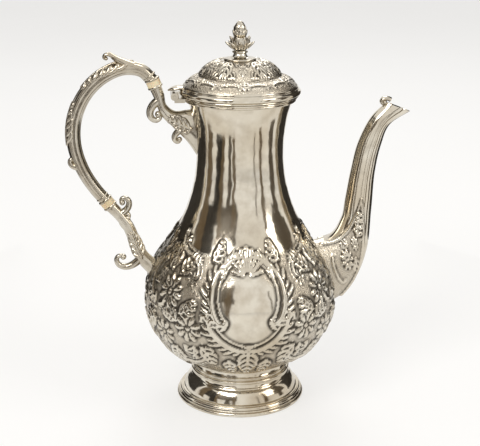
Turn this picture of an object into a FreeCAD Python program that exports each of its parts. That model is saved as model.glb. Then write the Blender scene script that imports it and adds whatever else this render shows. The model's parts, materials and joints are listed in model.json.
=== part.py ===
import FreeCAD
import Part
import math
import os

from FreeCAD import Vector

# Silver coffee pot, in millimetres.
# +X is the spout side, -X the handle side, +Z up, and the table is z = 0.

# Body: a pear-shaped hollow shell on a spun foot
FOOT_HEIGHT = 27.0
BELLY_RISE = 49.0
BELLY_RADIUS = 67.5
NECK_RISE = 105.0
NECK_RADIUS = 30.0
NECK_CURVE_RADIUS = 111.0
MOUTH_RISE = 35.0
BODY_WALL = 1.0

# Foot
FOOT_RADIUS = 46.0
FOOT_WIRE_WIDTH = 4.5
FOOT_WIRE_HEIGHT = 4.4
FOOT_STEP_HEIGHT = 2.0
FOOT_LEDGE_WIDTH = 3.3
FOOT_WAIST_RADIUS = 34.0
FOOT_WALL = 1.4
COLLAR_HEIGHT = 7.0
COLLAR_WIDTH = 4.5
COLLAR_BEAD = 1.6

# Mouth rim, and the lid that sits over it
MOUTH_BORE = 34.6
MOUTH_RIM_HEIGHT = 3.0
MOUTH_RIM_RADIUS = 38.9
LID_GAP = 0.3
LID_RIM_RADIUS = 41.5
LID_RIM_HEIGHT = 5.9
BEZEL_RADIUS = 32.2
BEZEL_WALL = 0.8
BEZEL_DEPTH = 7.0
BEZEL_ENGAGEMENT = 2.5
DOME_BASE_RADIUS = 39.5
DOME_BREAK_RADIUS = 28.6
DOME_BREAK_RISE = 7.8
DOME_TOP_RADIUS = 11.5
DOME_RISE = 18.2
DOME_WALL = 1.2

# Finial: three turned pieces held down by a stud, a washer and a nut
FINIAL_BASE_HEIGHT = 6.6
FINIAL_NECK_RADIUS = 4.2
CALYX_RADIUS = 9.8
CALYX_HEIGHT = 9.5
BUD_RADIUS = 5.2
BUD_HEIGHT = 10.5
STUD_RADIUS = 2.0
STUD_IN_BUD = 5.0
WASHER_RADIUS = 6.0
WASHER_THICKNESS = 1.0
NUT_ACROSS_FLATS = 8.0
NUT_HEIGHT = 3.5

# Lid hinge, at the back of the mouth
HINGE_OFFSET = 3.3
HINGE_LENGTH = 20.0
HINGE_KNUCKLE_RADIUS = 2.5
HINGE_LID_KNUCKLE = 6.7
HINGE_END_GAP = 0.25
HINGE_PLATE = 2.6
HINGE_PIN_RADIUS = 1.0
HINGE_PIN_STAND_OUT = 0.5

# Spout
SPOUT_WALL = 1.2
SPOUT_REACH = 50.5
STRAINER_HOLE_RADIUS = 1.5
STRAINER_PITCH = 6.0

# Handle: two cast brackets, two insulators and the grip
BRACKET_RADIUS = 4.2
GRIP_RADIUS = 4.7
INSULATOR_THICKNESS = 4.0
INSULATOR_RADIUS = 4.9
TENON_RADIUS = 2.2
TENON_LENGTH = 5.0
TENON_END_GAP = 0.3
HANDLE_PIN_RADIUS = 0.7
HANDLE_PIN_LENGTH = 8.0

# Fits
SOLDER_GAP = 0.05
PIN_CLEARANCE = 0.05
OVERRUN = 5.0

# Levels that follow from the sizes above
BELLY_Z = FOOT_HEIGHT + BELLY_RISE
NECK_Z = BELLY_Z + NECK_RISE
BODY_TOP = NECK_Z + MOUTH_RISE
MOUTH_TOP = BODY_TOP + MOUTH_RIM_HEIGHT
LID_SEAT = MOUTH_TOP + LID_GAP
LID_RIM_TOP = LID_SEAT + LID_RIM_HEIGHT
DOME_TOP = LID_RIM_TOP + DOME_RISE
CALYX_Z = DOME_TOP + FINIAL_BASE_HEIGHT
BUD_Z = CALYX_Z + CALYX_HEIGHT
HINGE_X = -(LID_RIM_RADIUS + HINGE_OFFSET)
HINGE_Z = LID_SEAT + 1.2

UP = Vector(0, 0, 1)
ACROSS = Vector(0, 1, 0)
ORIGIN = Vector(0, 0, 0)


# Drawing helpers: every outline is drawn in the XZ plane, as (radius, height)
def at(x, z):
    return Vector(x, 0, z)


def line(start, end):
    return Part.LineSegment(start, end).toShape()


def arc(start, through, end):
    return Part.Arc(start, through, end).toShape()


def turn(edges):
    face = Part.Face(Part.Wire(edges))
    return Part.Solid(face.revolve(ORIGIN, UP, 360))


def turn_polygon(points):
    corners = [at(r, z) for r, z in points]
    return turn([line(a, b) for a, b in zip(corners, corners[1:] + corners[:1])])


def tube(bottom, height, outer, inner):
    solid = Part.makeCylinder(outer, height, at(0, bottom))
    return solid.cut(Part.makeCylinder(inner, height, at(0, bottom)))


def cross_pin(centre, radius, length):
    start = centre - ACROSS * (length / 2)
    return Part.makeCylinder(radius, length, start, ACROSS)


def on_circle(centre, radius, point_height):
    """Right-hand point of a circle at the given height."""
    rise = point_height - centre.z
    return at(centre.x + math.sqrt(radius ** 2 - rise ** 2), point_height)


# Body: belly, shoulder and neck arcs that run into each other
def body_solid(offset):
    """The pear turned solid, grown outward by the offset."""
    low_centre = at(BELLY_RADIUS - BELLY_RISE, BELLY_Z)
    low_radius = BELLY_RISE + offset
    reach = NECK_RADIUS + NECK_CURVE_RADIUS - BELLY_RADIUS
    spread = BELLY_RADIUS - NECK_RADIUS
    shoulder = (reach ** 2 + NECK_RISE ** 2 - NECK_CURVE_RADIUS ** 2) / (2 * spread)
    high_centre = at(BELLY_RADIUS - shoulder, BELLY_Z)
    neck_centre = at(NECK_RADIUS + NECK_CURVE_RADIUS, NECK_Z)
    toward_neck = (neck_centre - high_centre).normalize()
    high_radius = shoulder + offset
    neck_radius = NECK_CURVE_RADIUS - offset

    floor = at(0, FOOT_HEIGHT - offset)
    low = at(low_centre.x, FOOT_HEIGHT - offset)
    diagonal = low_radius * math.sqrt(0.5)
    low_middle = at(low_centre.x + diagonal, BELLY_Z - diagonal)
    widest = at(BELLY_RADIUS + offset, BELLY_Z)
    meeting = high_centre + toward_neck * high_radius
    high_middle = on_circle(high_centre, high_radius, (BELLY_Z + meeting.z) / 2)
    narrowest = at(NECK_RADIUS + offset, NECK_Z)
    mouth_reach = math.sqrt(neck_radius ** 2 - MOUTH_RISE ** 2)
    mouth = at(neck_centre.x - mouth_reach, BODY_TOP)
    top = at(0, BODY_TOP)
    return turn([
        line(floor, low),
        arc(low, low_middle, widest),
        arc(widest, high_middle, meeting),
        arc(meeting, narrowest, mouth),
        line(mouth, top),
        line(top, floor),
    ])


def body_shell():
    shell = body_solid(0).cut(body_solid(-BODY_WALL))
    rows = 2
    for row in range(-rows, rows + 1):
        for column in range(-rows, rows + 1):
            if abs(row) + abs(column) > rows + 1:
                continue
            hole_y = column * STRAINER_PITCH
            hole_z = BELLY_Z + 20 + row * STRAINER_PITCH
            start = Vector(BELLY_RADIUS / 2, hole_y, hole_z)
            hole = Part.makeCylinder(STRAINER_HOLE_RADIUS, BELLY_RADIUS, start, Vector(1, 0, 0))
            shell = shell.cut(hole)
    return shell


def mouth_rim():
    bottom_outer = at(MOUTH_RIM_RADIUS - 1.9, BODY_TOP)
    bulge = at(MOUTH_RIM_RADIUS, BODY_TOP + MOUTH_RIM_HEIGHT / 2)
    top_outer = at(MOUTH_RIM_RADIUS - 0.6, MOUTH_TOP)
    top_inner = at(MOUTH_BORE, MOUTH_TOP)
    bottom_inner = at(MOUTH_BORE, BODY_TOP)
    return turn([
        arc(bottom_outer, bulge, top_outer),
        line(top_outer, top_inner),
        line(top_inner, bottom_inner),
        line(bottom_inner, bottom_outer),
    ])


# Foot: a wire on the table, a hollow ogee, and a beaded collar under the body
def foot_wire():
    inner = FOOT_RADIUS - FOOT_WIRE_WIDTH
    edge = FOOT_RADIUS - 1.1
    bottom_outer = at(edge, 0)
    top_outer = at(edge, FOOT_WIRE_HEIGHT)
    return turn([
        line(at(inner, 0), bottom_outer),
        arc(bottom_outer, at(FOOT_RADIUS, FOOT_WIRE_HEIGHT / 2), top_outer),
        line(top_outer, at(inner, FOOT_WIRE_HEIGHT)),
        line(at(inner, FOOT_WIRE_HEIGHT), at(inner, 0)),
    ])


def foot_ogee(inset):
    step_radius = FOOT_RADIUS - 2.0 - inset
    ledge_radius = step_radius - FOOT_LEDGE_WIDTH
    waist = FOOT_WAIST_RADIUS - inset
    step_top = FOOT_WIRE_HEIGHT + FOOT_STEP_HEIGHT
    ledge_top = step_top + 1.2
    top = FOOT_HEIGHT - COLLAR_HEIGHT
    cove_radius = waist + (ledge_radius - waist) * 0.3
    cove_height = ledge_top + (top - ledge_top) * 0.42
    return turn([
        line(at(0, FOOT_WIRE_HEIGHT), at(step_radius, FOOT_WIRE_HEIGHT)),
        line(at(step_radius, FOOT_WIRE_HEIGHT), at(step_radius, step_top)),
        line(at(step_radius, step_top), at(ledge_radius, ledge_top)),
        arc(at(ledge_radius, ledge_top), at(cove_radius, cove_height), at(waist, top)),
        line(at(waist, top), at(0, top)),
        line(at(0, top), at(0, FOOT_WIRE_HEIGHT)),
    ])


def foot_collar():
    bottom = FOOT_HEIGHT - COLLAR_HEIGHT
    inner = FOOT_WAIST_RADIUS - COLLAR_WIDTH
    bead_top = bottom + COLLAR_HEIGHT * 0.7
    bead_out = at(FOOT_WAIST_RADIUS + COLLAR_BEAD, (bottom + bead_top) / 2)
    above_body_floor = FOOT_HEIGHT + 3 * OVERRUN
    collar = turn([
        line(at(inner, bottom), at(FOOT_WAIST_RADIUS, bottom)),
        arc(at(FOOT_WAIST_RADIUS, bottom), bead_out, at(FOOT_WAIST_RADIUS, bead_top)),
        line(at(FOOT_WAIST_RADIUS, bead_top), at(FOOT_WAIST_RADIUS, above_body_floor)),
        line(at(FOOT_WAIST_RADIUS, above_body_floor), at(inner, above_body_floor)),
        line(at(inner, above_body_floor), at(inner, bottom)),
    ])
    return largest(collar.cut(body_solid(SOLDER_GAP)), lowest=True)


def largest(shape, lowest=False):
    """The piece to keep when a cut leaves more than one."""
    if lowest:
        return min(shape.Solids, key=lambda solid: solid.BoundBox.ZMin)
    return max(shape.Solids, key=lambda solid: solid.Volume)


# Lid
def lid_rim():
    inner = BEZEL_RADIUS + SOLDER_GAP
    bottom_outer = at(MOUTH_RIM_RADIUS, LID_SEAT)
    swell = at(LID_RIM_RADIUS, LID_SEAT + LID_RIM_HEIGHT * 0.55)
    crown = at(LID_RIM_RADIUS - 0.5, LID_RIM_TOP - 1.0)
    top_outer = at(DOME_BASE_RADIUS + 0.6, LID_RIM_TOP)
    top_inner = at(inner, LID_RIM_TOP)
    bottom_inner = at(inner, LID_SEAT)
    return turn([
        arc(bottom_outer, at(LID_RIM_RADIUS - 0.8, LID_SEAT + 1.4), swell),
        arc(swell, at(LID_RIM_RADIUS, LID_SEAT + LID_RIM_HEIGHT * 0.7), crown),
        line(crown, top_outer),
        line(top_outer, top_inner),
        line(top_inner, bottom_inner),
        line(bottom_inner, bottom_outer),
    ])


def lid_bezel():
    height = BEZEL_DEPTH + BEZEL_ENGAGEMENT
    return tube(LID_SEAT - BEZEL_DEPTH, height, BEZEL_RADIUS, BEZEL_RADIUS - BEZEL_WALL)


def dome_solid(wall):
    """The dome filled in, its skin moved inward by the wall."""
    inward = 0.6 * wall
    down = 0.8 * wall
    flange = at(DOME_BASE_RADIUS - inward, LID_RIM_TOP)
    edge = at(DOME_BASE_RADIUS - inward, LID_RIM_TOP + 1.0 - down)
    flare = at((DOME_BASE_RADIUS + DOME_BREAK_RADIUS) / 2 + 1.2 - inward,
               LID_RIM_TOP + DOME_BREAK_RISE / 2 + 0.9 - down)
    corner = at(DOME_BREAK_RADIUS - inward, LID_RIM_TOP + DOME_BREAK_RISE - down)
    crown = at((DOME_BREAK_RADIUS + DOME_TOP_RADIUS) / 2 + 2.2 - inward,
               LID_RIM_TOP + (DOME_BREAK_RISE + DOME_RISE) / 2 + 1.9 - down)
    flat = at(DOME_TOP_RADIUS - inward, DOME_TOP - down)
    middle = at(0, DOME_TOP - down)
    floor = at(0, LID_RIM_TOP)
    return turn([
        line(floor, flange),
        line(flange, edge),
        arc(edge, flare, corner),
        arc(corner, crown, flat),
        line(flat, middle),
        line(middle, floor),
    ])


def lid_dome():
    shell = dome_solid(0).cut(dome_solid(DOME_WALL))
    return shell.cut(stud_bore(DOME_TOP - OVERRUN, DOME_TOP))


def stud_bore(bottom, top):
    return Part.makeCylinder(STUD_RADIUS + PIN_CLEARANCE, top - bottom, at(0, bottom))


def finial_base():
    flange = at(DOME_TOP_RADIUS - 0.5, DOME_TOP)
    lip = at(DOME_TOP_RADIUS - 0.5, DOME_TOP + 1.0)
    cove = at(FINIAL_NECK_RADIUS + 1.6, DOME_TOP + FINIAL_BASE_HEIGHT * 0.5)
    neck = at(FINIAL_NECK_RADIUS, CALYX_Z)
    solid = turn([
        line(at(0, DOME_TOP), flange),
        line(flange, lip),
        arc(lip, cove, neck),
        line(neck, at(0, CALYX_Z)),
        line(at(0, CALYX_Z), at(0, DOME_TOP)),
    ])
    return solid.cut(stud_bore(DOME_TOP, CALYX_Z))


def finial_calyx():
    bottom = at(FINIAL_NECK_RADIUS, CALYX_Z)
    under = at(CALYX_RADIUS * 0.72, CALYX_Z + CALYX_HEIGHT * 0.32)
    brim = at(CALYX_RADIUS, CALYX_Z + CALYX_HEIGHT * 0.6)
    over = at(CALYX_RADIUS * 0.88, CALYX_Z + CALYX_HEIGHT * 0.85)
    top = at(BUD_RADIUS + 1.0, BUD_Z)
    solid = turn([
        line(at(0, CALYX_Z), bottom),
        arc(bottom, under, brim),
        arc(brim, over, top),
        line(top, at(0, BUD_Z)),
        line(at(0, BUD_Z), at(0, CALYX_Z)),
    ])
    return solid.cut(stud_bore(CALYX_Z, BUD_Z))


def finial_bud():
    tip = at(0.5, BUD_Z + BUD_HEIGHT)
    swell = at(BUD_RADIUS * 0.86, BUD_Z + BUD_HEIGHT * 0.52)
    solid = turn([
        line(at(0, BUD_Z), at(BUD_RADIUS, BUD_Z)),
        arc(at(BUD_RADIUS, BUD_Z), swell, tip),
        line(tip, at(0, tip.z)),
        line(at(0, tip.z), at(0, BUD_Z)),
    ])
    return solid.cut(stud_bore(BUD_Z, BUD_Z + STUD_IN_BUD + TENON_END_GAP))


def finial_fixings():
    """Stud, washer and nut, hung from the underside of the dome."""
    dome_underside = DOME_TOP - 0.8 * DOME_WALL
    washer_bottom = dome_underside - WASHER_THICKNESS
    nut_bottom = washer_bottom - NUT_HEIGHT
    stud_bottom = nut_bottom - 1.0
    stud_length = BUD_Z + STUD_IN_BUD - stud_bottom
    stud = Part.makeCylinder(STUD_RADIUS, stud_length, at(0, stud_bottom))
    bore = stud_bore(stud_bottom, DOME_TOP)
    washer = Part.makeCylinder(WASHER_RADIUS, WASHER_THICKNESS, at(0, washer_bottom))
    corner = NUT_ACROSS_FLATS / math.sqrt(3)
    corners = [Vector(corner * math.cos(math.radians(60 * i)),
                      corner * math.sin(math.radians(60 * i)), nut_bottom)
               for i in range(7)]
    nut = Part.Face(Part.makePolygon(corners)).extrude(UP * NUT_HEIGHT)
    return stud, washer.cut(bore), nut.cut(bore)


# Hinge: two knuckles on the pot, one on the lid, and a pin through all three
def hinge_bore():
    return cross_pin(at(HINGE_X, HINGE_Z), HINGE_PIN_RADIUS + PIN_CLEARANCE, 2 * HINGE_LENGTH)


def hinge_base():
    half = HINGE_LENGTH / 2
    notch = HINGE_LID_KNUCKLE / 2 + HINGE_END_GAP
    notch_end = HINGE_X + HINGE_KNUCKLE_RADIUS + 0.7
    plate_length = -HINGE_X
    plate = Part.makeBox(plate_length, HINGE_LENGTH, HINGE_PLATE,
                         Vector(HINGE_X, -half, MOUTH_TOP - HINGE_PLATE))
    knuckle = cross_pin(at(HINGE_X, HINGE_Z), HINGE_KNUCKLE_RADIUS, HINGE_LENGTH)
    slot = Part.makeBox(notch_end - HINGE_X + OVERRUN, 2 * notch, 4 * OVERRUN,
                        Vector(HINGE_X - OVERRUN, -notch, HINGE_Z - 2 * OVERRUN))
    solid = plate.fuse(knuckle).removeSplitter().cut(slot).cut(hinge_bore())
    pot = Part.makeCylinder(MOUTH_RIM_RADIUS + SOLDER_GAP, 4 * OVERRUN, at(0, BODY_TOP - 2 * OVERRUN))
    return largest(solid.cut(pot))


def lid_hinge_leaf():
    half = HINGE_LID_KNUCKLE / 2
    thickness = 3.0
    plate = Part.makeBox(-HINGE_X, HINGE_LID_KNUCKLE, thickness, Vector(HINGE_X, -half, LID_SEAT + 0.3))
    knuckle = cross_pin(at(HINGE_X, HINGE_Z), HINGE_KNUCKLE_RADIUS, HINGE_LID_KNUCKLE)
    solid = plate.fuse(knuckle).removeSplitter().cut(hinge_bore())
    lid = Part.makeCylinder(LID_RIM_RADIUS + SOLDER_GAP, 4 * OVERRUN, at(0, LID_SEAT - 2 * OVERRUN))
    return largest(solid.cut(lid))


def hinge_pin():
    length = HINGE_LENGTH + 2 * HINGE_PIN_STAND_OUT
    return cross_pin(at(HINGE_X, HINGE_Z), HINGE_PIN_RADIUS, length)


# Cast pieces are skinned over oval stations that stand across a curved path
def oval(centre, along, half_along, half_across):
    points = []
    count = 16
    for i in range(count):
        angle = 2 * math.pi * i / count
        points.append(centre
                      + along * (half_along * math.cos(angle))
                      + ACROSS * (half_across * math.sin(angle)))
    curve = Part.BSplineCurve()
    even_steps = [i / count for i in range(count + 1)]
    curve.interpolate(Points=points, PeriodicFlag=True, Parameters=even_steps)
    return Part.Wire(curve.toShape())


def between(upper, lower, half_across, wall=0.0):
    """An oval station given by the two ends of its long axis."""
    span = upper - lower
    half = span.Length / 2
    return oval((upper + lower) / 2, span.normalize(), half - wall, half_across - wall)


def path_curve(points, start_along=None, end_along=None):
    """A smooth curve through the points; the end directions are unit vectors."""
    curve = Part.BSplineCurve()
    if start_along is None:
        curve.interpolate(Points=points)
        return curve
    runs = [0.0]
    for here, there in zip(points, points[1:]):
        runs.append(runs[-1] + (there - here).Length)
    curve.interpolate(Points=points, Parameters=runs, InitialTangent=start_along, FinalTangent=end_along, Scale=False)
    return curve


def sweep(curve, wires):
    return Part.Wire(curve.toShape()).makePipeShell(wires, True, False)


def rod(curve, radius_at, count=4, flatness=1.0):
    """A round rod along a path; radius_at gives the radius at 0 to 1."""
    wires = []
    first, last = curve.FirstParameter, curve.LastParameter
    for i in range(count + 1):
        share = i / count
        here = first + (last - first) * share
        tangent = Vector(*curve.tangent(here)[0]).normalize()
        sideways = ACROSS.cross(tangent).normalize()
        radius = radius_at(share)
        wires.append(oval(curve.value(here), sideways, radius, radius * flatness))
    return sweep(curve, wires)


def scroll(points, start_radius, end_radius):
    """A tapering curl that ends in a small ball."""
    curve = path_curve(points)
    stem = rod(curve, lambda share: start_radius + (end_radius - start_radius) * share, count=2)
    ball = Part.makeSphere(end_radius * 1.3, points[-1])
    return stem.fuse(ball)


# Spout: each station is the upper and lower edge, placed from the widest point of the belly
SPOUT_STATIONS = [
    ((-25.0, 38.0), (-6.0, -9.0), 18.0),
    ((-11.5, 39.0), (5.0, -3.0), 16.0),
    ((-1.5, 44.0), (16.8, 11.5), 13.0),
    ((4.2, 54.0), (23.4, 31.0), 10.4),
    ((7.0, 68.0), (25.6, 61.0), 8.6),
    ((10.7, 90.5), (27.3, 89.0), 7.6),
    ((15.0, 109.0), (30.8, 107.0), 7.0),
    ((23.5, 126.5), (37.0, 122.0), 6.2),
    ((33.5, 137.0), (SPOUT_REACH, 130.5), 5.0),
]


def spout_solid(wall):
    start = at(BELLY_RADIUS, BELLY_Z)
    ends = [(start + at(*upper), start + at(*lower), width) for upper, lower, width in SPOUT_STATIONS]
    centres = [(upper + lower) / 2 for upper, lower, width in ends]
    wires = [between(upper, lower, width, wall) for upper, lower, width in ends]
    return sweep(path_curve(centres), wires)


def spout():
    tube_solid = spout_solid(0).cut(spout_solid(SPOUT_WALL))
    return largest(tube_solid.cut(body_solid(SOLDER_GAP)))


def spout_scroll():
    seat = at(BELLY_RADIUS + 31.5, BELLY_Z + 137.0)
    roll = cross_pin(seat, 2.6, 9.0)
    return largest(roll.cut(spout_solid(0)))


# Handle: the joints are set from the mouth and from the belly
UPPER_DIRECTION = at(math.cos(math.radians(112)), math.sin(math.radians(112)))
LOWER_DIRECTION = at(math.cos(math.radians(-52)), math.sin(math.radians(-52)))
UPPER_JOINT = at(-(MOUTH_RIM_RADIUS + 18.7), BODY_TOP + 10.6)
GRIP_START = UPPER_JOINT + UPPER_DIRECTION * INSULATOR_THICKNESS
GRIP_END = at(-(BELLY_RADIUS + 25.7), BELLY_Z + 71.2)
LOWER_JOINT = GRIP_END + LOWER_DIRECTION * INSULATOR_THICKNESS


def from_mouth(out, up):
    return at(-(MOUTH_RIM_RADIUS + out), BODY_TOP + up)


def from_belly(out, up):
    return at(-(BELLY_RADIUS + out), BELLY_Z + up)


def from_both(out, up):
    """Halfway between the mouth and the belly, so that a change of either is shared."""
    return (from_mouth(out, up) + from_belly(out, up)) / 2


def joint_bores(joint, direction):
    """Tenon socket and pin hole on the side the direction points to."""
    depth = TENON_LENGTH + TENON_END_GAP
    socket = Part.makeCylinder(TENON_RADIUS + PIN_CLEARANCE, depth, joint, direction)
    return socket.fuse(pin_hole(joint, direction))


def pin_centre(joint, direction):
    return joint + direction * (TENON_LENGTH * 0.55)


def pin_hole(joint, direction):
    return cross_pin(pin_centre(joint, direction), HANDLE_PIN_RADIUS + PIN_CLEARANCE, 4 * OVERRUN)


def insulator(start, direction):
    end = start + direction * INSULATOR_THICKNESS
    back = direction * -1
    disc = Part.makeCylinder(INSULATOR_RADIUS, INSULATOR_THICKNESS, start, direction)
    tenon_start = start + back * TENON_LENGTH
    tenon = Part.makeCylinder(TENON_RADIUS, 2 * TENON_LENGTH + INSULATOR_THICKNESS, tenon_start, direction)
    solid = disc.fuse(tenon)
    return solid.cut(pin_hole(start, back)).cut(pin_hole(end, direction))


def insulator_pins(start, direction):
    end = start + direction * INSULATOR_THICKNESS
    back = direction * -1
    return Part.makeCompound([
        cross_pin(pin_centre(start, back), HANDLE_PIN_RADIUS, HANDLE_PIN_LENGTH),
        cross_pin(pin_centre(end, direction), HANDLE_PIN_RADIUS, HANDLE_PIN_LENGTH),
    ])


def upper_bracket():
    side = ACROSS.cross(UPPER_DIRECTION).normalize()
    neck = at(-NECK_RADIUS, BODY_TOP)
    ends = [
        (neck + at(2.0, -5.0), neck + at(2.0, -41.0), 7.0),
        (neck + at(-6.5, -6.0), neck + at(-6.5, -28.0), 5.6),
        (neck + at(-14.5, -6.5), neck + at(-15.5, -18.5), 4.6),
        (neck + at(-19.7, -2.5), neck + at(-23.2, -10.5), BRACKET_RADIUS),
    ]
    centres = [(upper + lower) / 2 for upper, lower, width in ends]
    bend = UPPER_JOINT - UPPER_DIRECTION * 6.0
    curve = path_curve(centres + [bend, UPPER_JOINT])
    stations = [between(*station) for station in ends]
    stations.append(oval(UPPER_JOINT, side, BRACKET_RADIUS, BRACKET_RADIUS))
    stem = sweep(curve, stations)
    curl = scroll([from_mouth(16.0, 3.0), from_mouth(20.5, -2.5), from_mouth(22.6, -8.5)], 3.4, 2.3)
    cast = stem.fuse(curl).cut(joint_bores(UPPER_JOINT, UPPER_DIRECTION * -1))
    return largest(cast.cut(body_solid(SOLDER_GAP)))


def grip_radius(share):
    """Thickest in the middle of the grip and a little thinner at its ends."""
    return BRACKET_RADIUS + (GRIP_RADIUS - BRACKET_RADIUS) * math.sin(math.pi * share)


def grip_solid():
    curve = path_curve(
        [
            GRIP_START,
            from_mouth(27.0, 20.8),
            from_mouth(38.0, 22.8),
            from_both(37.8, 88.0),
            from_belly(37.0, 145.5),
            from_belly(44.8, 128.0),
            from_belly(45.6, 111.0),
            from_belly(40.8, 94.0),
            from_belly(32.6, 79.8),
            GRIP_END,
        ],
        UPPER_DIRECTION,
        LOWER_DIRECTION,
    )
    return rod(curve, grip_radius)


def handle_grip():
    grip = grip_solid()
    grip = grip.cut(joint_bores(GRIP_START, UPPER_DIRECTION))
    return grip.cut(joint_bores(GRIP_END, LOWER_DIRECTION * -1))


def thumb_leaf():
    curve = path_curve([from_mouth(35.0, 25.0), from_mouth(43.0, 28.2), from_mouth(50.0, 33.0)])
    leaf = rod(curve, lambda share: 2.6 - 1.8 * share, count=2, flatness=1.8)
    return largest(leaf.cut(grip_solid()))


def lower_bracket():
    curve = path_curve(
        [
            LOWER_JOINT,
            from_belly(16.5, 60.5),
            from_belly(11.0, 52.5),
            from_belly(7.0, 42.5),
            from_belly(2.4, 31.0),
            at(-(BELLY_RADIUS / 2 + 25.25), BELLY_Z + 19.0),
        ],
        LOWER_DIRECTION,
        at(0.75, -0.66),
    )
    stem = rod(curve, lambda share: BRACKET_RADIUS + 1.6 * (share - 0.5) * abs(share - 0.5) * 4)
    inner_curl = scroll([from_belly(17.5, 61.0), from_belly(12.0, 59.5), from_belly(8.0, 63.0)], 3.0, 2.2)
    outer_curl = scroll([from_belly(10.5, 51.0), from_belly(15.5, 53.0), from_belly(19.6, 51.0)], 2.8, 2.0)
    tail_curl = scroll([from_belly(2.0, 29.5), from_belly(6.0, 20.5), from_belly(14.5, 18.5)], 3.0, 2.0)
    cast = stem.fuse([inner_curl, outer_curl, tail_curl])
    cast = cast.cut(joint_bores(LOWER_JOINT, LOWER_DIRECTION))
    return largest(cast.cut(body_solid(SOLDER_GAP)))


stud, washer, nut = finial_fixings()
nodes = {
    "body_shell": body_shell(),
    "mouth_rim": mouth_rim(),
    "foot_wire": foot_wire(),
    "foot_ogee": foot_ogee(0).cut(foot_ogee(FOOT_WALL)),
    "foot_collar": foot_collar(),
    "spout": spout(),
    "spout_scroll": spout_scroll(),
    "upper_bracket": upper_bracket(),
    "upper_insulator": insulator(UPPER_JOINT, UPPER_DIRECTION),
    "upper_pins": insulator_pins(UPPER_JOINT, UPPER_DIRECTION),
    "handle_grip": handle_grip(),
    "thumb_leaf": thumb_leaf(),
    "lower_insulator": insulator(GRIP_END, LOWER_DIRECTION),
    "lower_pins": insulator_pins(GRIP_END, LOWER_DIRECTION),
    "lower_bracket": lower_bracket(),
    "hinge_base": hinge_base(),
    "hinge_pin": hinge_pin(),
    "lid_rim": lid_rim(),
    "lid_bezel": lid_bezel(),
    "lid_dome": lid_dome(),
    "lid_hinge_leaf": lid_hinge_leaf(),
    "finial_base": finial_base(),
    "finial_calyx": finial_calyx(),
    "finial_bud": finial_bud(),
    "finial_stud": stud,
    "finial_washer": washer,
    "finial_nut": nut,
}

os.makedirs("parts", exist_ok=True)
for name, shape in nodes.items():
    shape.exportStep(os.path.join("parts", name + ".step"))
    box = shape.BoundBox
    print(name, len(shape.Solids), "solid,", "valid" if shape.isValid() else "NOT VALID",
          round(shape.Volume / 1000, 2), "cm3, x %.1f %.1f y %.1f %.1f z %.1f %.1f"
          % (box.XMin, box.XMax, box.YMin, box.YMax, box.ZMin, box.ZMax))
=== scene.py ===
# %% [markdown]
# A silver coffee pot, built as a lesson in cells.
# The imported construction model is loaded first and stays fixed: it gives every place and size.
# What follows makes the finish: the turned and chased skin, the cast handle, the spout and the polish.

# %% Load the frame and keep its box
import json
import math

import bpy
import numpy as np
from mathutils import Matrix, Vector
from mathutils.kdtree import KDTree


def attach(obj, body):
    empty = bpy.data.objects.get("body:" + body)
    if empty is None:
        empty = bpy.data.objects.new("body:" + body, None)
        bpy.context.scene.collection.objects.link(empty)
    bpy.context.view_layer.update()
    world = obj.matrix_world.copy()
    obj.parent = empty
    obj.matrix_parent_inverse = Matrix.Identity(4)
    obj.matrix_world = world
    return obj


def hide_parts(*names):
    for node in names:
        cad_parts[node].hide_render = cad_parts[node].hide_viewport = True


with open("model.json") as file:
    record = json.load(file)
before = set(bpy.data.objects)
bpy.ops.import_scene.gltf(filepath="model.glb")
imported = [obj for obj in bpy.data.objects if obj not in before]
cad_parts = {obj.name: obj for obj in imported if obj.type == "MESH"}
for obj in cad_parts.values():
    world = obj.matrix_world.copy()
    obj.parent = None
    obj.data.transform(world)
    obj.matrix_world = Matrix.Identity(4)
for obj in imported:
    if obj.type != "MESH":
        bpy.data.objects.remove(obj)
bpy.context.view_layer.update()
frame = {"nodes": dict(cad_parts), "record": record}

MM = 0.001
MERGE = 0.004 * MM

# %% [markdown]
# Blender's tools act on whatever is selected, and loading leaves the frame's pieces selected.
# So each tool is called through a helper that first selects one object and nothing else.

# %% Helpers for selecting, finishing and applying
def only(piece):
    bpy.ops.object.select_all(action="DESELECT")
    piece.select_set(True)
    bpy.context.view_layer.objects.active = piece


def edit(piece):
    only(piece)
    bpy.ops.object.mode_set(mode="EDIT")
    bpy.ops.mesh.select_all(action="SELECT")


def leave_edit():
    bpy.ops.object.mode_set(mode="OBJECT")


def tidy(piece, smooth=35):
    """Merge doubled points, turn every face outward and shade it smooth."""
    edit(piece)
    bpy.ops.mesh.remove_doubles(threshold=MERGE)
    bpy.ops.mesh.normals_make_consistent(inside=False)
    leave_edit()
    bpy.ops.object.shade_smooth_by_angle(angle=math.radians(smooth))
    return piece


def modify(piece, kind, **settings):
    only(piece)
    modifier = piece.modifiers.new(kind.lower(), kind)
    for name, value in settings.items():
        setattr(modifier, name, value)
    bpy.ops.object.modifier_apply(modifier=modifier.name)


def join(name, pieces):
    bpy.ops.object.select_all(action="DESELECT")
    for piece in pieces:
        piece.select_set(True)
    bpy.context.view_layer.objects.active = pieces[0]
    bpy.ops.object.join()
    pieces[0].name = name
    return pieces[0]


def settle(piece, body, material, slot, *nodes):
    """Give a finished piece its material, the body it moves with and the pieces it stands for."""
    only(piece)
    bpy.ops.object.transform_apply(location=True, rotation=True, scale=True)
    piece.data.materials.clear()
    piece.data.materials.append(material)
    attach(piece, body)
    if nodes:
        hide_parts(*nodes)
    triangles = sum(len(face.vertices) - 2 for face in piece.data.polygons)
    print(piece.name, "on", body, triangles, "triangles")


# %% [markdown]
# A finish is a small network of shader nodes.
# Sums on values read best as Python sums, so a class wraps a node's output and each operator adds a Math node.
# Every other node comes from one method that takes its type, its settings and what goes into its sockets.

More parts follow.
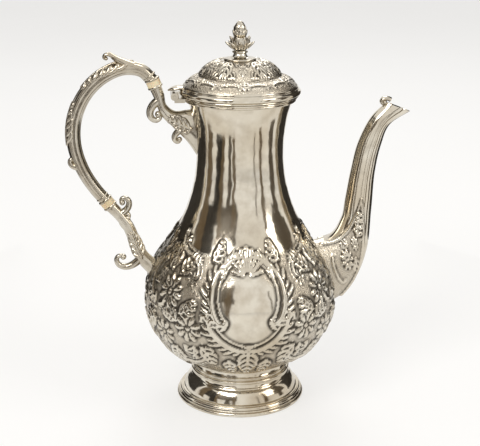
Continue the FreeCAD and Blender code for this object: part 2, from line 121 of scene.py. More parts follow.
# %% A class for shader sums
class Value:
    def __init__(self, network, socket):
        self.network = network
        self.socket = socket

    def sum(self, operation, left, right):
        return self.network.node("ShaderNodeMath", {"operation": operation}, {0: left, 1: right})

    def __add__(self, other):
        return self.sum("ADD", self, other)

    __radd__ = __add__

    def __mul__(self, other):
        return self.sum("MULTIPLY", self, other)

    __rmul__ = __mul__


class Network:
    """A tree of shader nodes, and the one method that adds them."""

    def __init__(self, tree):
        self.tree = tree

    def put(self, socket, value):
        if isinstance(value, Value):
            self.tree.links.new(value.socket, socket)
        else:
            socket.default_value = value

    def node(self, kind, settings={}, sockets={}, output=0):
        node = self.tree.nodes.new(kind)
        for name, value in settings.items():
            setattr(node, name, value)
        for name, value in sockets.items():
            self.put(node.inputs[name], value)
        return Value(self, node.outputs[output])

    def noise(self, scale, detail=2.0, stretch=(1, 1, 1)):
        place = self.node("ShaderNodeTexCoord", output="Object")
        place = self.node("ShaderNodeMapping", {}, {"Vector": place, "Scale": stretch})
        return self.node("ShaderNodeTexNoise", {}, {"Vector": place, "Scale": scale, "Detail": detail})

    def level(self, value, low, high, to_low=0.0, to_high=1.0):
        return self.node("ShaderNodeMapRange", {}, {0: value, 1: low, 2: high, 3: to_low, 4: to_high})

    def blend(self, share, first, second):
        return self.node("ShaderNodeMix", {"data_type": "RGBA"}, {0: share, 6: first, 7: second}, output=2)

    def attribute(self, name):
        return self.node("ShaderNodeAttribute", {"attribute_name": name}, output="Fac")

    def bump(self, height, strength, distance, below=None):
        sockets = {"Height": height, "Strength": strength, "Distance": distance}
        if below is not None:
            sockets["Normal"] = below
        return self.node("ShaderNodeBump", {}, sockets)

    def seen(self):
        """1 where the eye, a reflection or a clear piece shows this, and 0 where it only sheds light."""
        rays = [self.node("ShaderNodeLightPath", output="Is %s Ray" % ray)
                for ray in ("Camera", "Glossy", "Transmission")]
        return rays[0] + rays[1] + rays[2]


class Finish(Network):
    """One material, with its Principled shader."""

    def __init__(self, name, **uniform):
        self.material = bpy.data.materials.new(name)
        self.material.use_nodes = True
        super().__init__(self.material.node_tree)
        self.shader = self.tree.nodes["Principled BSDF"]
        self.feed(**uniform)

    def feed(self, **inputs):
        for name, value in inputs.items():
            self.put(self.shader.inputs[name.replace("_", " ").title()], value)


# %% [markdown]
# Old silver plate is a warm white metal that shows the room around it.
# Hand polishing brightens whatever stands up and leaves dark tarnish in the hollows of the chasing.
# Two point attributes carry that: "hollow" is how deep a point lies below its neighbours and
# "matting" marks the punched ground between the ornaments. Pieces without them read zero and stay bright.

# %% Silver
def make_silver(name, tone, rough):
    """Polished silver plate; tone darkens it and rough dulls it."""
    silver = Finish(name, metallic=1.0)
    hollow = silver.attribute("hollow")
    matting = silver.attribute("matting")
    cloud = silver.level(silver.noise(26, 3), 0.35, 0.68)
    breath = silver.level(silver.noise(140, 4), 0.40, 0.72)
    rubbed = silver.noise(900, 2, (1, 1, 0.15))

    def shade(red, green, blue):
        return (red * tone, green * tone, blue * tone, 1)

    bright = silver.blend(cloud, shade(0.83, 0.785, 0.685), shade(0.66, 0.59, 0.47))
    grey = silver.blend(breath * 0.5, bright, shade(0.48, 0.41, 0.32))
    stain = silver.level(silver.noise(17, 4), 0.50, 0.72, 0.0, 0.55)
    worn = silver.blend(stain, grey, shade(0.46, 0.36, 0.23))
    ground = silver.blend(matting * 0.42, worn, shade(0.40, 0.34, 0.26))
    dark = silver.level(hollow, 0.10, 0.85, 0.0, 0.93)
    silver.feed(
        base_color=silver.blend(dark, ground, (0.040, 0.032, 0.023, 1)),
        roughness=rough + rubbed * 0.05 + breath * 0.05 + matting * 0.16 + dark * 0.22,
    )
    place = silver.node("ShaderNodeTexCoord", output="Object")
    punch = silver.node("ShaderNodeTexVoronoi", {}, {"Vector": place, "Scale": 1150.0})
    hammer = silver.bump(silver.noise(46, 2), 0.5, 0.0016)
    stipple = silver.bump(punch * matting, 0.55, 0.0005, hammer)
    silver.feed(normal=stipple)
    return silver.material


SILVER = make_silver("silver_plate", 0.94, 0.07)
CAST = make_silver("cast_silver", 0.78, 0.12)
print("finish:", SILVER.name, "and", CAST.name, len(SILVER.node_tree.nodes), "nodes each")

# %% [markdown]
# The insulators are a pale ivory-like stuff: satin, slightly yellow, with faint grain along one way.
# The fixings under the lid are turned brass, a little dull, with rings left by the lathe.

# %% Ivory and brass
def make_ivory():
    ivory = Finish("ivory", coat_weight=0.25, coat_roughness=0.2, subsurface_weight=0.15,
                   subsurface_scale=0.002)
    grain = ivory.level(ivory.noise(260, 3, (1, 1, 0.12)), 0.3, 0.7)
    age = ivory.level(ivory.noise(70, 2), 0.4, 0.7)
    colour = ivory.blend(grain, (0.80, 0.70, 0.50, 1), (0.70, 0.57, 0.36, 1))
    ivory.feed(
        base_color=ivory.blend(age * 0.5, colour, (0.52, 0.38, 0.20, 1)),
        roughness=0.32 + grain * 0.12,
        normal=ivory.bump(grain, 0.12, 0.0002),
    )
    return ivory.material


def make_brass():
    brass = Finish("turned_brass", metallic=1.0)
    rings = brass.noise(1500, 1, (0.02, 0.02, 1))
    stain = brass.level(brass.noise(160, 3), 0.4, 0.7)
    brass.feed(
        base_color=brass.blend(stain, (0.72, 0.55, 0.27, 1), (0.38, 0.26, 0.12, 1)),
        roughness=0.24 + rings * 0.14 + stain * 0.12,
        normal=brass.bump(rings, 0.15, 0.0002),
    )
    return brass.material


IVORY = make_ivory()
BRASS = make_brass()
FINISHES = {"silver": SILVER, "ivory": IVORY, "brass": BRASS}
for part in frame["record"]["subparts"]:
    node = frame["nodes"][part["node"]]
    node.data.materials.clear()
    node.data.materials.append(CAST if "hinge" in part["node"] else FINISHES[part["material_slot"]])
print("finishes:", list(FINISHES), "given to", len(frame["nodes"]), "pieces")

# %% [markdown]
# Silver has no look of its own without things to reflect.
# The studio is a pale floor and a white surround, with soft lamps above. Dark strips and cards stand round the
# pot and show only in its reflections, as the dark bands down the neck.

# %% Floor, surround, lamps and cards
def make_plain(name, colour, other):
    """A plain mottle of two near colours."""
    plain = Finish(name, roughness=0.6)
    mottle = plain.level(plain.noise(3, 2), 0.3, 0.7)
    plain.feed(base_color=plain.blend(mottle, colour, other))
    return plain


FLOOR_GLOW = 0.55


def make_floor():
    """A pale floor that is part lit, so that it keeps the shadow, and part white."""
    plain = make_plain("pale_floor", (0.93, 0.925, 0.915, 1), (0.91, 0.905, 0.89, 1))
    white = plain.node("ShaderNodeEmission", {}, {"Color": (1, 0.995, 0.985, 1), "Strength": 1.0})
    lit = Value(plain, plain.shader.outputs[0])
    mixed = plain.node("ShaderNodeMixShader", {}, {0: plain.seen() * FLOOR_GLOW, 1: lit, 2: white})
    plain.put(plain.tree.nodes["Material Output"].inputs["Surface"], mixed)
    return plain.material


bpy.ops.mesh.primitive_plane_add(size=40.0)
floor = bpy.context.object
floor.name = "floor"
floor.data.materials.append(make_floor())


def card(name, azimuth, distance, height, size, colour):
    """A standing card; azimuth 0 is straight behind the camera, positive to its right."""
    angle = math.radians(azimuth - 90)
    bpy.ops.mesh.primitive_plane_add(
        size=1.0,
        location=(distance * math.cos(angle), distance * math.sin(angle), height),
        rotation=(math.pi / 2, 0, angle - math.pi / 2),
    )
    piece = bpy.context.object
    piece.name = name
    piece.scale = (size[0], size[1], 1)
    only(piece)
    bpy.ops.object.transform_apply(location=True, rotation=True, scale=True)
    faded = tuple(0.97 * part for part in colour[:3]) + (1,)
    piece.data.materials.append(make_plain(name, colour, faded).material)
    piece.visible_camera = piece.visible_shadow = piece.visible_diffuse = False


DARK = (0.018, 0.014, 0.010, 1)
BROWN = (0.16, 0.115, 0.065, 1)
UMBER = (0.10, 0.08, 0.058, 1)
GREY = (0.30, 0.28, 0.25, 1)
STRIP_DISTANCE, CARD_DISTANCE = 0.38, 1.5
STRIPS = (
    (-128, 0.34, 0.60, DARK), (-86, 0.10, 0.44, BROWN), (-60, 0.09, 0.30, DARK), (-49, 0.06, 0.38, BROWN),
    (-29, 0.055, 0.25, UMBER), (-19, 0.04, 0.34, BROWN), (31, 0.02, 0.27, GREY), (48, 0.05, 0.36, BROWN),
    (80, 0.09, 0.46, UMBER), (126, 0.30, 0.60, DARK),
)
for number, (azimuth, width, tall, colour) in enumerate(STRIPS):
    card("strip_%d" % number, azimuth, STRIP_DISTANCE, tall / 2, (width, tall), colour)
card("card_front_high", -34, CARD_DISTANCE, 1.0, (1.1, 1.0), UMBER)
card("card_left_high", -80, CARD_DISTANCE, 0.95, (1.0, 1.1), DARK)
card("card_right_high", 84, CARD_DISTANCE, 0.95, (0.8, 1.1), UMBER)

world = bpy.data.worlds.new("surround")
bpy.context.scene.world = world
world.use_nodes = True
surround = Network(world.node_tree)
back = surround.tree.nodes["Background"]
back.inputs["Color"].default_value = (1.0, 0.985, 0.96, 1)
surround.put(back.inputs["Strength"], surround.level(surround.seen(), 0.0, 1.0, 0.55, 1.0))


def lamp(name, place, aim, size, power, colour=(1, 1, 1)):
    bpy.ops.object.light_add(type="AREA", location=place)
    light = bpy.context.object
    light.name = name
    light.data.size = size
    light.data.energy = power
    light.data.color = colour
    light.rotation_euler = (Vector(aim) - Vector(place)).to_track_quat("-Z", "Y").to_euler()


lamp("window", (-0.9, -1.1, 1.3), (0, 0, 0.12), 0.9, 16, (1.0, 0.98, 0.95))
lamp("fill", (1.3, -0.7, 1.0), (0, 0, 0.12), 0.8, 7, (1.0, 0.97, 0.92))
lamp("back_top", (0.2, 1.2, 1.5), (0, 0, 0.15), 0.9, 8)
print("studio: a floor,", len(STRIPS), "strips, 3 cards and 3 lamps")

# %% [markdown]
# The camera stands where the photograph's camera stood, as recovered from the pot's own outline.
# It is turned to the pot and given a longer lens, so the whole pot fills the 480 by 446 picture.

# %% Camera
CAMERA = Vector((-0.064, -0.734, 0.352))
AIM = Vector((0.0, 0.0, 0.1285))
bpy.ops.object.camera_add(location=CAMERA)
camera = bpy.context.object
camera.rotation_euler = (AIM - CAMERA).to_track_quat("-Z", "Y").to_euler()
camera.data.sensor_width = 36
camera.data.lens = 82
bpy.context.scene.camera = camera
bpy.context.scene.view_settings.view_transform = "Standard"
print("camera", round((CAMERA - AIM).length, 3), "m away")

# %% [markdown]
# The body is a pear of sheet silver, raised over a stake: three arcs that run into each other.
# A turned outline is drawn as a curve, made a mesh, and spun round the axis, as on a lathe.
# The rings stand close where the chasing comes and wide apart on the plain neck, so points go where they show.

# %% The pear's outline and the lathe
BELLY_Z, BELLY_R, BELLY_LOW, BELLY_HIGH = 76.0, 67.5, 49.0, 54.75
NECK_Z, NECK_R, NECK_CURVE = 181.0, 30.0, 111.0
BODY_FLOOR, BODY_TOP, BODY_WALL = 27.0, 216.0, 1.0
SHOULDER_Z = 110.7


def pear(z, grow=0.0):
    """Radius of the pear at a height, both in millimetres; grow moves the wall out."""
    if z > SHOULDER_Z:
        return NECK_R + NECK_CURVE - math.sqrt((NECK_CURVE - grow) ** 2 - (z - NECK_Z) ** 2)
    bow = BELLY_HIGH if z > BELLY_Z else BELLY_LOW
    return BELLY_R - bow + math.sqrt(max(0.0, (bow + grow) ** 2 - (z - BELLY_Z) ** 2))


def lathe(name, outline, steps, smooth=35):
    """Spin an outline of (radius, height) points, in millimetres, round the pot's axis."""
    bpy.ops.curve.primitive_bezier_curve_add()
    curve = bpy.context.object
    curve.name = name
    curve.data.splines.clear()
    spline = curve.data.splines.new("POLY")
    spline.points.add(len(outline) - 1)
    for point, (radius, height) in zip(spline.points, outline):
        point.co = (radius * MM, 0, height * MM, 1)
    only(curve)
    bpy.ops.object.convert(target="MESH")
    piece = bpy.context.object
    edit(piece)
    bpy.ops.mesh.spin(steps=steps, angle=2 * math.pi, center=(0, 0, 0), axis=(0, 0, 1))
    leave_edit()
    return tidy(piece, smooth)


def pear_rings(low, high, spacing):
    """Heights whose points along the outline stand about one spacing apart."""
    fine = np.linspace(low, high, 3000)
    radii = np.array([pear(z) for z in fine])
    run = np.concatenate([[0], np.cumsum(np.hypot(np.diff(fine), np.diff(radii)))])
    count = max(2, int(run[-1] / spacing))
    return list(np.interp(np.linspace(0, run[-1], count + 1), run, fine))


CHASED_LOW, CHASED_HIGH = 33.0, 131.0
BODY_STEPS, CHASED_SPACING = 480, 0.84
inside = [(0.0, BODY_FLOOR + BODY_WALL)]
inside += [(pear(z, -BODY_WALL), z) for z in pear_rings(BODY_FLOOR + BODY_WALL + 0.05, BODY_TOP, 9.0)]
heights = pear_rings(CHASED_HIGH, BODY_TOP, 2.6)[::-1]
heights += pear_rings(CHASED_LOW, CHASED_HIGH, CHASED_SPACING)[::-1][1:]
heights += pear_rings(BODY_FLOOR + 0.05, CHASED_LOW, 2.2)[::-1][1:]
outside = [(pear(z), z) for z in heights] + [(0.0, BODY_FLOOR)]
body = lathe("pot_body", inside + outside, BODY_STEPS, 60)
print("body rings:", len(inside) + len(outside), "points:", len(body.data.vertices))

# %% [markdown]
# Chasing is drawn with strokes. A stroke has points, each with a half width and a height, in millimetres
# on the unrolled belly: u runs round the belly from the middle of the cartouche and z is the height.
# A scroll is a line that bends steadily in its middle and curls up at its ends.
# A daisy, a leaf and a shell are fans of short fat strokes.

# %% Strokes for scrolls, flowers, leaves and shells
def scroll_line(middle, heading, length, bend, curl, double=False, half=13):
    """Points of a scroll from its middle outward; bend and curl are turns in degrees on each side."""
    weights = [((i + 0.5) / half) ** 4 for i in range(half)]
    strides = [1 - 0.62 * ((i + 0.5) / half) ** 2 for i in range(half)]
    sides = []
    for way in (-1, 1):
        x, y = middle
        angle = math.radians(heading) + (math.pi if way < 0 else 0)
        run = []
        for weight, stride in zip(weights, strides):
            turn = bend / half + curl * weight / sum(weights)
            angle += math.radians(turn if double else turn * way)
            x += math.cos(angle) * length / 2 * stride / sum(strides)
            y += math.sin(angle) * length / 2 * stride / sum(strides)
            run.append((x, y))
        sides.append(run)
    return sides[0][::-1] + [middle] + sides[1]


def beside(line, distance):
    """The line moved sideways, to its left where the distance is positive."""
    moved = []
    for i, (x, y) in enumerate(line):
        x0, y0 = line[max(0, i - 1)]
        x1, y1 = line[min(len(line) - 1, i + 1)]
        size = math.hypot(x1 - x0, y1 - y0)
        moved.append((x - (y1 - y0) / size * distance, y + (x1 - x0) / size * distance))
    return moved


def scroll(middle, heading, length, bend, curl, width, height, double=False, raffle=0.0, lip=True):
    """A scroll; lip adds a thin line inside it, and raffle the reach of a frill of short lobes outside it."""
    line = scroll_line(middle, heading, length, bend, curl, double)
    last = len(line) - 1
    span = [abs(2 * i / last - 1) for i in range(last + 1)]
    fat = [width * (1 - 0.5 * t ** 1.5) for t in span]
    fat[0] = fat[last] = width * 0.95
    strokes = [[(p, w, height * (1 - 0.2 * t)) for p, w, t in zip(line, fat, span)]]
    side = math.copysign(1, bend)
    if lip:
        strokes.append([(p, width * 0.32, height * 0.55) for p in beside(line, side * width * 1.75)[3:-3]])
    if raffle:
        root = beside(line, -side * width * 0.5)
        edge = beside(line, -side * (width + raffle))
        for i in range(3, last - 3, 2):
            reach = (1 - 0.5 * span[i]) * (1.25 if i % 4 == 1 else 0.9)
            tip = tuple(a + (b - a) * reach for a, b in zip(root[i], edge[i + 2]))
            mid = tuple(a * 0.55 + b * 0.45 for a, b in zip(root[i], tip))
            fan = min(1.0, raffle / 4)
            strokes.append([(point, wide * fan, height * share)
                            for point, wide, share in ((root[i], 0.9, 0.6), (mid, 1.7, 0.8), (tip, 1.0, 0.5))])
    return strokes


def bead(centre, size):
    x, y = centre
    return [[((x - 0.15, y), size, size * 0.75), ((x + 0.15, y), size, size * 0.75)]]


def daisy(centre, radius, count, turn=0.0):
    strokes = []
    fat = radius * math.pi / count * 0.66
    blade = ((0.30, 0.5, 0.08), (0.66, 1.0, 0.15), (0.92, 0.7, 0.12))
    for i in range(count):
        angle = math.radians(turn) + 2 * math.pi * i / count
        x, y = math.cos(angle) * radius, math.sin(angle) * radius
        strokes.append([((centre[0] + x * r, centre[1] + y * r), fat * w, radius * h) for r, w, h in blade])
    return strokes + bead(centre, radius * 0.25)


def leaf(base, tip, sway, width, lobes=5, height=1.3):
    """An acanthus leaf: a swaying rib with curled lobes down both sides."""
    dx, dy = tip[0] - base[0], tip[1] - base[1]
    size = math.hypot(dx, dy)

    def rib(t):
        off = sway * math.sin(math.pi * t) / size
        return (base[0] + dx * t - dy * off, base[1] + dy * t + dx * off)

    strokes = [[(rib(t), 0.5 + 0.7 * (1 - t), height * (1 - 0.3 * t)) for t in (0.0, 0.25, 0.5, 0.75, 1.0)]]
    fat = size / lobes * 0.36
    lobe = ((0.0, 0.0, 0.55, 0.7), (0.45, 0.25, 0.95, 1.0), (0.82, 0.72, 0.9, 0.85), (0.80, 1.15, 0.4, 0.5))
    for i in range(lobes):
        t = (i + 0.3) / lobes
        here, ahead = rib(t), rib(min(1.0, t + 0.12))
        step = math.hypot(ahead[0] - here[0], ahead[1] - here[1])
        ax, ay = (ahead[0] - here[0]) / step, (ahead[1] - here[1]) / step
        reach = width * (0.5 + 0.5 * math.sin(math.pi * min(1, t + 0.25))) * (1 - 0.35 * t)
        for side in (-1, 1):
            across = [((ax * f - ay * side * o) * reach, (ay * f + ax * side * o) * reach) for o, f, w, h in lobe]
            strokes.append([((here[0] + x, here[1] + y), fat * w, height * h)
                            for (x, y), (o, f, w, h) in zip(across, lobe)])
    return strokes


def shell(centre, radius, count, spread):
    """An upright fan of flutes; spread is its angle in degrees."""
    strokes = []
    fat = radius * math.radians(spread) / count * 0.44
    flute = ((0.2, 0.35, 0.7), (0.65, 0.75, 1.2), (1.0, 1.0, 1.5))
    for i in range(count):
        tilt = math.radians(spread * (i / (count - 1) - 0.5))
        reach = radius * (0.72 + 0.28 * math.cos(tilt))
        x, y = -math.sin(tilt) * reach, math.cos(tilt) * reach
        strokes.append([((centre[0] + x * r, centre[1] + y * r), fat * w, h) for r, w, h in flute])
    return strokes


# %% [markdown]
# The pattern repeats: each side of the pot has a plain cartouche between scrolls, and what lies to its right
# is the mirror of what lies to its left. So a quarter of the belly is drawn, from the middle of the
# cartouche to the line of the spout, and used four times.

# %% A quarter of the belly's pattern
QUARTER, CARTOUCHE_Z, CARTOUCHE_CLEAR = 106.0, 86.0, 29.0


def filled(strokes, field, seed, step=5.4):
    """Add small leaves and beads, from a seeded choice, where the field has bare ground."""
    choose = np.random.default_rng(seed)
    taken = np.array([point for stroke in strokes for point, width, height in stroke])
    for u in np.arange(1.5, QUARTER, step):
        for z in np.arange(36.0, 128, step):
            spot = np.array((u, z)) + choose.uniform(-1.3, 1.3, 2)
            angle = choose.uniform(0, 2 * math.pi)
            room = np.hypot(*(taken - spot).T).min()
            if not field(*spot) or room < 2.6:
                continue
            if room < 4.0:
                added = bead(tuple(spot), 1.1)
            else:
                tip = spot + 5.5 * np.array((math.cos(angle), math.sin(angle)))
                added = leaf(tuple(spot), tuple(tip), 1.2, 3.6, 3, 1.2)
            strokes = strokes + added
            taken = np.vstack([taken, [point for stroke in added for point, width, height in stroke]])
    return strokes


def outside_cartouche(u, z):
    """True on the chased field: below its wavy upper edge and clear of the cartouche."""
    top = 117 + 5 * math.cos(u / QUARTER * 5 * math.pi)
    return (u / CARTOUCHE_CLEAR) ** 2 + ((z - CARTOUCHE_Z) / CARTOUCHE_CLEAR) ** 2 > 1 and 37 < z < top


def belly_quarter():
    """Scrolls, a shell, flowers and leaves by their places, then a filling of small leaves and beads."""
    strokes = scroll((26.5, 94), 84, 50, 46, 250, 2.8, 2.0, raffle=4.5)
    strokes += scroll((17.5, 64.5), 38, 46, 40, 240, 2.6, 1.9, raffle=4.5)
    strokes += scroll((13.5, 117), 152, 30, 50, 250, 1.5, 1.5, raffle=3)
    strokes += scroll((56, 118), 8, 52, 50, 260, 1.7, 1.5, double=True)
    strokes += scroll((86, 98), 80, 40, 60, 260, 1.6, 1.5, raffle=4)
    strokes += scroll((84, 44), 5, 54, -60, -280, 1.9, 1.6, raffle=4)
    strokes += scroll((44, 44), 170, 40, -50, -260, 1.7, 1.5, raffle=3.5)
    strokes += shell((0, 108), 17, 9, 150)
    for centre, radius, petals, turn in (((43, 72), 10.5, 9, 0), ((61, 94), 11.5, 10, 12), ((66, 64), 10, 9, 5),
                                         ((80, 80), 7, 8, 0), ((98, 110), 6, 7, 0), ((44, 104), 6, 7, 0)):
        strokes += daisy(centre, radius, petals, turn)
    for base, tip, sway, width, lobes in (
        ((0, 58), (0, 35), 0, 9, 5), ((50, 82), (38, 92), 2, 6, 4), ((56, 106), (40, 116), -3, 7, 5),
        ((66, 107), (82, 119), 4, 8, 5), ((74, 72), (90, 58), 4, 8, 5), ((56, 55), (72, 40), -3, 8, 5),
        ((52, 76), (66, 79), 2, 6, 4), ((30, 116), (24, 129), 2, 6, 4), ((106, 68), (106, 38), 0, 9, 5),
        ((94, 66), (100, 48), -2, 7, 4), ((90, 114), (102, 127), 3, 7, 4), ((34, 60), (28, 44), -2, 7, 4),
        ((70, 108), (62, 128), -3, 6, 4), ((14, 50), (12, 36), 1, 6, 4),
    ):
        strokes += leaf(base, tip, sway, width, lobes, 1.6)
    return filled(strokes, outside_cartouche, 7)


# %% [markdown]
# Chasing is driven from both sides of the sheet. Here the strokes become round punches half sunk in the wall,
# made as bevelled curves, and a skin that stands a little off the wall is pressed back onto wall and punches
# together. The Shrinkwrap modifier does the pressing, along each point's own normal.

# %% Punches and pressing
def rounded(stroke):
    """The stroke with its ends carried on a little, thin and low, so that they close round."""
    def past(end, before):
        (x, y), width, height = end
        (x0, y0) = before[0]
        size = math.hypot(x - x0, y - y0)
        return ((x + (x - x0) / size * width * 0.6, y + (y - y0) / size * width * 0.6), width * 0.3, height * 0.3)

    return [past(stroke[0], stroke[1])] + stroke + [past(stroke[-1], stroke[-2])]


def make_punches(name, strokes, place):
    """Bevelled curves along the strokes; place gives a point on the wall and its outward normal."""
    bpy.ops.curve.primitive_bezier_curve_add()
    punches = bpy.context.object
    punches.name = name
    curve = punches.data
    curve.splines.clear()
    curve.bevel_depth = MM
    curve.bevel_resolution = 2
    curve.resolution_u = 3
    curve.use_fill_caps = True
    for stroke in strokes:
        spline = curve.splines.new("BEZIER")
        points = rounded(stroke)
        spline.bezier_points.add(len(points) - 1)
        for knot, ((u, v), width, height) in zip(spline.bezier_points, points):
            round_radius = (width ** 2 + height ** 2) / (2 * height)
            spot, normal = place(u, v)
            knot.co = (spot - normal * (round_radius - height)) * MM
            knot.radius = round_radius
            knot.handle_left_type = knot.handle_right_type = "AUTO"
    only(punches)
    bpy.ops.object.convert(target="MESH")
    return bpy.context.object


def points_of(piece, kind="co"):
    values = np.empty(len(piece.data.vertices) * 3)
    piece.data.vertices.foreach_get(kind, values)
    return values.reshape(-1, 3)


def move_points(piece, points):
    piece.data.vertices.foreach_set("co", points.ravel())
    piece.data.update()


def press(piece, punches, chosen, lift=0.004, ease=1):
    """Press the chosen points onto the piece's own wall and the punches; return each point's height."""
    before, out = points_of(piece), points_of(piece, "normal")
    group = piece.vertex_groups.new(name="pressed")
    group.add([int(i) for i in np.nonzero(chosen)[0]], 1.0, "REPLACE")
    only(piece)
    bpy.ops.object.duplicate()
    anvil = join("anvil", [bpy.context.object, punches])
    modify(piece, "DISPLACE", strength=lift, mid_level=0.0, vertex_group="pressed")
    modify(piece, "SHRINKWRAP", target=anvil, wrap_method="PROJECT", use_positive_direction=False,
           use_negative_direction=True, project_limit=lift * 1.2, vertex_group="pressed")
    only(anvil)
    bpy.ops.object.delete()

    def lay_back(high):
        """Put the points that are flat, or higher than a limit in millimetres, back on the wall."""
        after = points_of(piece)
        relief = ((after - before) * out).sum(axis=1) / MM
        flat = (np.abs(relief) < 0.04) | (relief > high)
        after[flat] = before[flat]
        move_points(piece, after)
        return np.where(flat, 0.0, relief)

    lay_back(lift / MM * 0.8)
    modify(piece, "SMOOTH", factor=0.5, iterations=ease, vertex_group="pressed")
    piece.vertex_groups.clear()
    return lay_back(lift / MM)


def spread(piece, values, rounds):
    """Average each point's value with its neighbours', a number of times."""
    ends = np.empty(len(piece.data.edges) * 2, dtype=np.int64)
    piece.data.edges.foreach_get("vertices", ends)
    a, b = ends[0::2], ends[1::2]
    count = np.bincount(ends, minlength=len(values)) + 1
    for _ in range(rounds):
        total = values + np.bincount(a, values[b], len(values)) + np.bincount(b, values[a], len(values))
        values = total / count
    return values


def mark(piece, name, values):
    layer = piece.data.attributes.new(name, "FLOAT", "POINT")
    layer.data.foreach_set("value", np.clip(values, 0, 1).astype(np.float32))


def tarnish(piece, relief, field, rounds=7, depth=0.28):
    """Mark the hollows beside the relief, and the punched ground where the field has no relief."""
    mark(piece, "hollow", (spread(piece, relief, rounds) - relief) / depth)
    mark(piece, "matting", spread(piece, field * (relief < 0.12), 2))


def tarnish_creases(piece, rounds=3, depth=0.12):
    """Mark the hollows of a casting, where a point lies below the mean of its neighbours."""
    here = points_of(piece) / MM
    around = np.stack([spread(piece, here[:, axis], rounds) for axis in range(3)], axis=1)
    mark(piece, "hollow", ((around - here) * points_of(piece, "normal")).sum(axis=1) / depth)


def on_belly(turn, flip):
    """A finder of places on the belly, with u run from an azimuth in degrees, one way or the other."""
    def place(u, z):
        angle = math.radians(turn) + flip * u / BELLY_R
        slope = (pear(z + 0.1) - pear(z - 0.1)) / 0.2
        out = Vector((math.cos(angle), math.sin(angle), -slope)).normalized()
        return Vector((pear(z) * math.cos(angle), pear(z) * math.sin(angle), z)), out

    return place


MATTING_TOP, PLAIN_WIDE, PLAIN_TALL = 119.0, 25.0, 24.0
quarters = [make_punches("punches", belly_quarter(), on_belly(turn, flip))
            for turn in (-90, 90) for flip in (-1, 1)]
x, y, z = (points_of(body) / MM).T
wall = np.array([pear(height) for height in np.clip(z, BODY_FLOOR, BODY_TOP)])
chosen = (np.abs(np.hypot(x, y) - wall) < 0.2) & (z > CHASED_LOW) & (z < CHASED_HIGH)
relief = press(body, join("belly_punches", quarters), chosen)
around = np.abs(np.angle(np.exp(1j * (np.arctan2(y, x) - np.pi / 2) * 2))) / 2 * BELLY_R
cartouche = (around / PLAIN_WIDE) ** 2 + ((z - CARTOUCHE_Z) / PLAIN_TALL) ** 2 < 1
field = chosen & ~cartouche & (z < MATTING_TOP)
tarnish(body, relief, field.astype(float))
print("belly relief up to", round(relief.max(), 2), "mm, over", int(chosen.sum()), "points")
settle(body, "pot", SILVER, "silver", "body_shell")

# %% [markdown]
# The foot is three turned pieces: a heavy wire that the pot stands on, a spun ogee and a collar.
# Each outline is drawn in straight runs and arcs through three points, then spun.
# Small steps and beads between the larger curves catch the light as fine bright lines.

# %% The foot
def arc(first, middle, last, count=8):
    """Points of the circle through three points, from the first to the last."""
    (ax, ay), (bx, by), (cx, cy) = first, middle, last
    d = 2 * (ax * (by - cy) + bx * (cy - ay) + cx * (ay - by))
    a2, b2, c2 = ax * ax + ay * ay, bx * bx + by * by, cx * cx + cy * cy
    ox = (a2 * (by - cy) + b2 * (cy - ay) + c2 * (ay - by)) / d
    oy = (a2 * (cx - bx) + b2 * (ax - cx) + c2 * (bx - ax)) / d
    size = math.hypot(ax - ox, ay - oy)
    start = math.atan2(ay - oy, ax - ox)
    through = (math.atan2(by - oy, bx - ox) - start) % (2 * math.pi)
    end = (math.atan2(cy - oy, cx - ox) - start) % (2 * math.pi)
    if through > end:
        end -= 2 * math.pi
    return [(ox + size * math.cos(start + end * i / count), oy + size * math.sin(start + end * i / count))
            for i in range(count + 1)]


foot_wire = [(41.5, 0.0), (44.6, 0.0)] + arc((45.2, 0.2), (46.0, 1.5), (45.2, 2.8), 8)
foot_wire += [(44.5, 3.0), (44.5, 3.3)] + arc((44.6, 3.3), (45.0, 3.8), (44.6, 4.35), 5)
foot_wire += [(41.5, 4.35), (41.5, 0.0)]
foot_ogee = [(40.0, 4.45), (44.0, 4.45), (44.0, 5.2)] + arc((43.9, 5.3), (43.4, 6.2), (42.4, 6.5), 5)
foot_ogee += [(42.4, 7.1), (41.2, 7.3)] + arc((40.8, 7.5), (38.9, 12.2), (35.4, 16.2), 14)
foot_ogee += [(35.2, 16.6)] + arc((35.1, 16.7), (34.1, 17.9), (34.0, 19.95), 6)
foot_ogee += [(32.6, 19.95)] + arc((32.6, 18.8), (36.3, 13.6), (38.8, 7.0), 10) + [(40.0, 5.6), (40.0, 4.45)]
foot_collar = [(29.5, 20.05), (34.6, 20.05)] + arc((34.8, 20.2), (35.6, 21.3), (34.8, 22.4), 8)
foot_collar += [(34.0, 22.6), (34.0, 23.2)] + arc((34.1, 23.3), (34.5, 23.9), (34.1, 24.5), 5)
foot_collar += [(33.6, 24.7)] + arc((33.4, 25.0), (32.8, 27.2), (34.0, 29.3), 8)
foot_collar += [(33.2, 29.2), (29.5, 27.9), (29.5, 20.05)]
RING_STEPS = 160
for name, outline, node in (("foot_ring", foot_wire, "foot_wire"), ("foot_spun", foot_ogee, "foot_ogee"),
                            ("foot_band", foot_collar, "foot_collar")):
    settle(lathe(name, outline, RING_STEPS, 30), "pot", SILVER, "silver", node)

# %% [markdown]
# The mouth and the lid's edge are drawn wires with a rolled lip, soldered on.
# The dome is spun in two swells and chased like the belly. Its pattern is a sixth of the round, turned six times.
# Strokes on the dome use u for the run round it and v for the distance from the axis.

